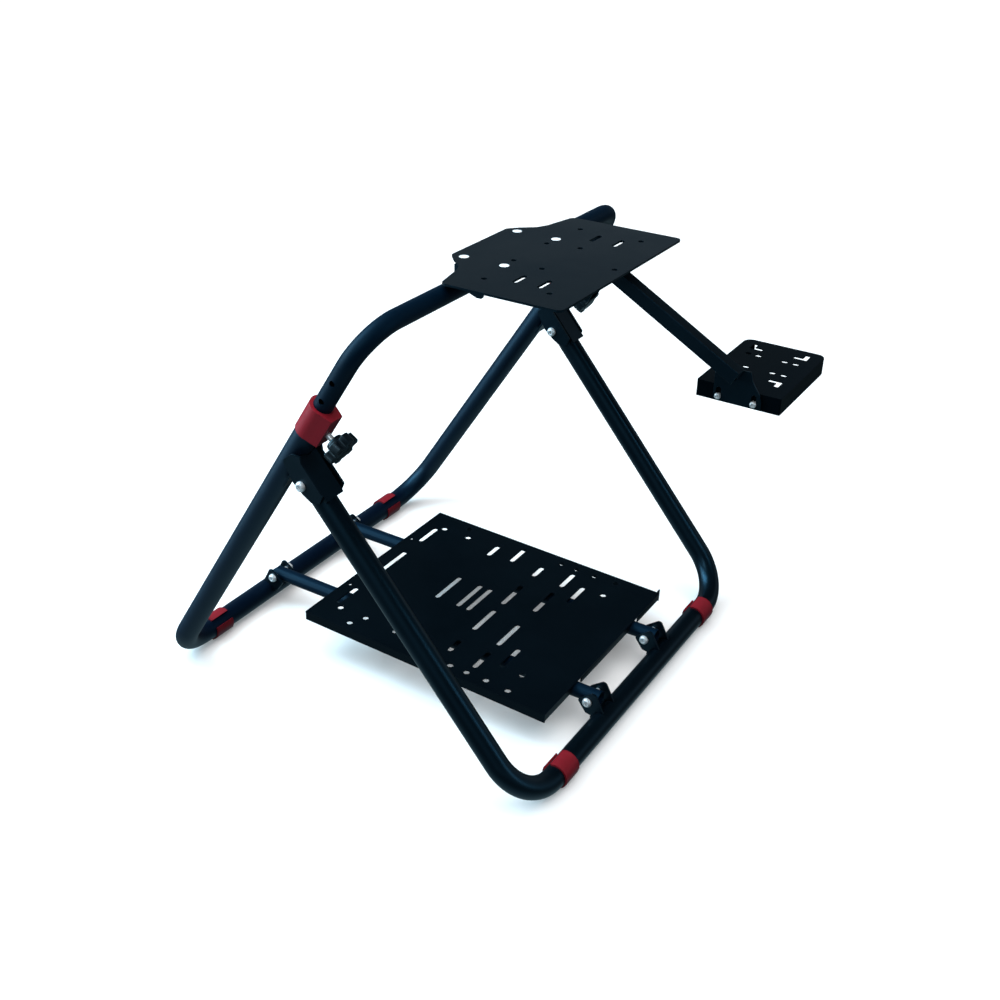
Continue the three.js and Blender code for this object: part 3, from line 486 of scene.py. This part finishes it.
# star knobs: six square-shouldered lobes, rounded edges, a raised cap and a tapered hub
for side, s in (("left", -1), ("right", 1)):
    c = rear_at(CLAMP_T, 0, s * HALF_W)
    out = []
    N = 120
    for k in range(N):
        a = 2 * math.pi * k / N
        f = (math.cos(6 * a) + 1) / 2
        f = min(1.0, max(0.0, (f - 0.10) / 0.62))
        f = f * f * (3 - 2 * f)
        r = 14.6 + (22.2 - 14.6) * f
        out.append(c + nR * 40.3 + uR * (r * math.cos(a)) - Y * (r * math.sin(a)))
    bm = bmesh.new()
    lo = [bm.verts.new(q * MM) for q in out]
    hi = [bm.verts.new((q + nR * 14) * MM) for q in out]
    bm.faces.new(lo)
    bm.faces.new(hi[::-1])
    for k in range(N):
        bm.faces.new((lo[k], hi[k], hi[(k + 1) % N], lo[(k + 1) % N]))
    bmesh.ops.recalc_face_normals(bm, faces=bm.faces)
    o = mesh_object("knob_head", bm)
    bevel(o, 0.0016, 4, 55)
    hub = lathe("hub", [(0, 33.9), (10.2, 33.9), (10.9, 34.4), (11.6, 36.1), (12.6, 41.6), (0, 41.6)], c, nR)
    cut(o, hub, "UNION")
    cap = lathe("cap", [(0, 53), (13.0, 53), (12.9, 54.7), (12.2, 55.4), (10.8, 55.75), (0, 55.8)], c, nR)
    cut(o, cap, "UNION")
    cut(o, rod(c + nR * 30, c + nR * 39.6, 4.3))
    o.name = f"clamp_knob_{side}_piece"
    put(shade(o, 42), "clamp_knob_" + side)

ARM_EDGE = {"shifter_arm": 0.0014, "hinge_bracket_left": 0.0011, "hinge_bracket_right": 0.0011, "hinge_cap_left": 0.001, "hinge_cap_right": 0.001}
SHEET = {"pedal_plate": 0.0005, "shifter_tray": 0.0004, "wheel_plate": 0.0006, "arm_end_plate": 0.0005}
for node, obj in frame["nodes"].items():
    if node in done:
        continue
    w = SHEET.get(node, ARM_EDGE.get(node, 0.0007))
    if SLOT[node] == "zinc_steel":
        w = 0.00035
    if node.startswith("collar"):
        w = 0.0009
    o = from_cad(node)
    bevel(o, w, 2)
    shade(o, 50)
    flatten(o)
    put(o, node)

# ---------------------------------------------------------------- floor, light, camera
bm = bmesh.new()
vs = [bm.verts.new((x, y, 0)) for x, y in ((-40, -40), (40, -40), (40, 40), (-40, 40))]
bm.faces.new(vs)
floor = mesh_object("floor", bm)
fm, nt, b = new_material("floor_pale")
fn = noise(nt, 3.0)
fc = ramp(nt, fn.outputs["Fac"], [(0.3, (0.70, 0.70, 0.70)), (0.7, (0.73, 0.73, 0.73))])
nt.links.new(fc.outputs["Color"], b.inputs["Base Color"])
b.inputs["Roughness"].default_value = 0.9
b.inputs["Specular IOR Level"].default_value = 0.0
b.inputs["Emission Color"].default_value = (1, 1, 1, 1)
b.inputs["Emission Strength"].default_value = 0.20
floor.data.materials.append(fm)
floor.visible_glossy = False
floor.visible_diffuse = False

w = bpy.data.worlds.new("studio")
bpy.context.scene.world = w
w.use_nodes = True
nt = w.node_tree
nt.nodes.clear()
out = nt.nodes.new("ShaderNodeOutputWorld")
bg = nt.nodes.new("ShaderNodeBackground")
# brighter just above the horizon, dim higher up; below it the glow of the pale floor, which the floor plane itself leaves out
tc = nt.nodes.new("ShaderNodeTexCoord")
sep = nt.nodes.new("ShaderNodeSeparateXYZ")
nt.links.new(tc.outputs["Generated"], sep.inputs["Vector"])
half = rng(nt, sep.outputs["Z"], 0.0, 1.0, -1.0, 1.0)
K, G = (0.68, 0.87, 1.0), (0.56, 0.88, 1.0)
sky = ramp(nt, half.outputs["Result"], [((z + 1) / 2, tuple(v * c for c in k)) for z, v, k in (
    (-1.0, 0.46, G), (-0.78, 0.42, G), (-0.60, 0.30, G), (-0.42, 0.08, G), (-0.08, 0.06, K), (0.20, 0.38, K), (0.29, 0.36, K), (0.355, 0.020, K),
    (0.56, 0.010, K), (1.0, 0.02, K))])
nt.links.new(sky.outputs["Color"], bg.inputs["Color"])
bg.inputs["Strength"].default_value = 1.0
cam_bg = nt.nodes.new("ShaderNodeBackground")
cam_bg.inputs["Color"].default_value = (1, 1, 1, 1)
cam_bg.inputs["Strength"].default_value = 1.0
lp = nt.nodes.new("ShaderNodeLightPath")
mix = nt.nodes.new("ShaderNodeMixShader")
nt.links.new(lp.outputs["Is Camera Ray"], mix.inputs["Fac"])
nt.links.new(bg.outputs["Background"], mix.inputs[1])
nt.links.new(cam_bg.outputs["Background"], mix.inputs[2])
nt.links.new(mix.outputs["Shader"], out.inputs["Surface"])


def area(name, loc, target, size, power, color=(1, 1, 1)):
    l = bpy.data.lights.new(name, "AREA")
    l.shape = "RECTANGLE"
    l.size, l.size_y = size
    l.energy = power
    l.color = color
    o = bpy.data.objects.new(name, l)
    bpy.context.scene.collection.objects.link(o)
    o.location = loc
    o.rotation_euler = (Vector(target) - Vector(loc)).to_track_quat("-Z", "Y").to_euler()
    return o


# soft overhead light for the floor and the tops, kept out of mirror reflections
l = bpy.data.lights.new("overhead", "SUN")
l.energy = 3.75
l.angle = math.radians(80)
top = bpy.data.objects.new("overhead", l)
bpy.context.scene.collection.objects.link(top)
top.visible_glossy = False
# strips that draw the long highlights on the tubes
area("strip_high", (-2.2, -0.9, 2.5), (-0.1, -0.1, 0.3), (1.4, 2.2), 110, (0.45, 0.80, 1.0))
area("strip_front", (2.4, 0.4, 1.2), (0.1, 0, 0.25), (0.5, 1.8), 8, (0.50, 0.82, 1.0))
area("strip_near", (0.3, -2.6, 2.2), (0, 0, 0.4), (1.6, 0.5), 18, (0.75, 0.92, 1.0))
area("broad_left", (-2.7, -1.7, 1.1), (-0.2, -0.1, 0.3), (2.2, 2.2), 95, (0.60, 0.86, 1.0))

cam = bpy.data.cameras.new("camera")
cam.sensor_width = 36.0
cam.lens = 45.414
cam.clip_end = 100
camera = bpy.data.objects.new("camera", cam)
bpy.context.scene.collection.objects.link(camera)
right = Vector((0.8488333, 0.5282955, 0.01964421))
down = Vector((0.27318282, -0.40651478, -0.87184682))
fwd = Vector((-0.45260709, 0.74541907, -0.48938454))
rot = Matrix((right, -down, -fwd)).transposed()
camera.matrix_world = Matrix.Translation(Vector((1204.628 + X_SHIFT, -1368.520, 1147.353 + 3.0)) * MM) @ rot.to_4x4()
bpy.context.scene.camera = camera
bpy.context.scene.view_settings.view_transform = "Standard"
bpy.context.scene.view_settings.look = "None"
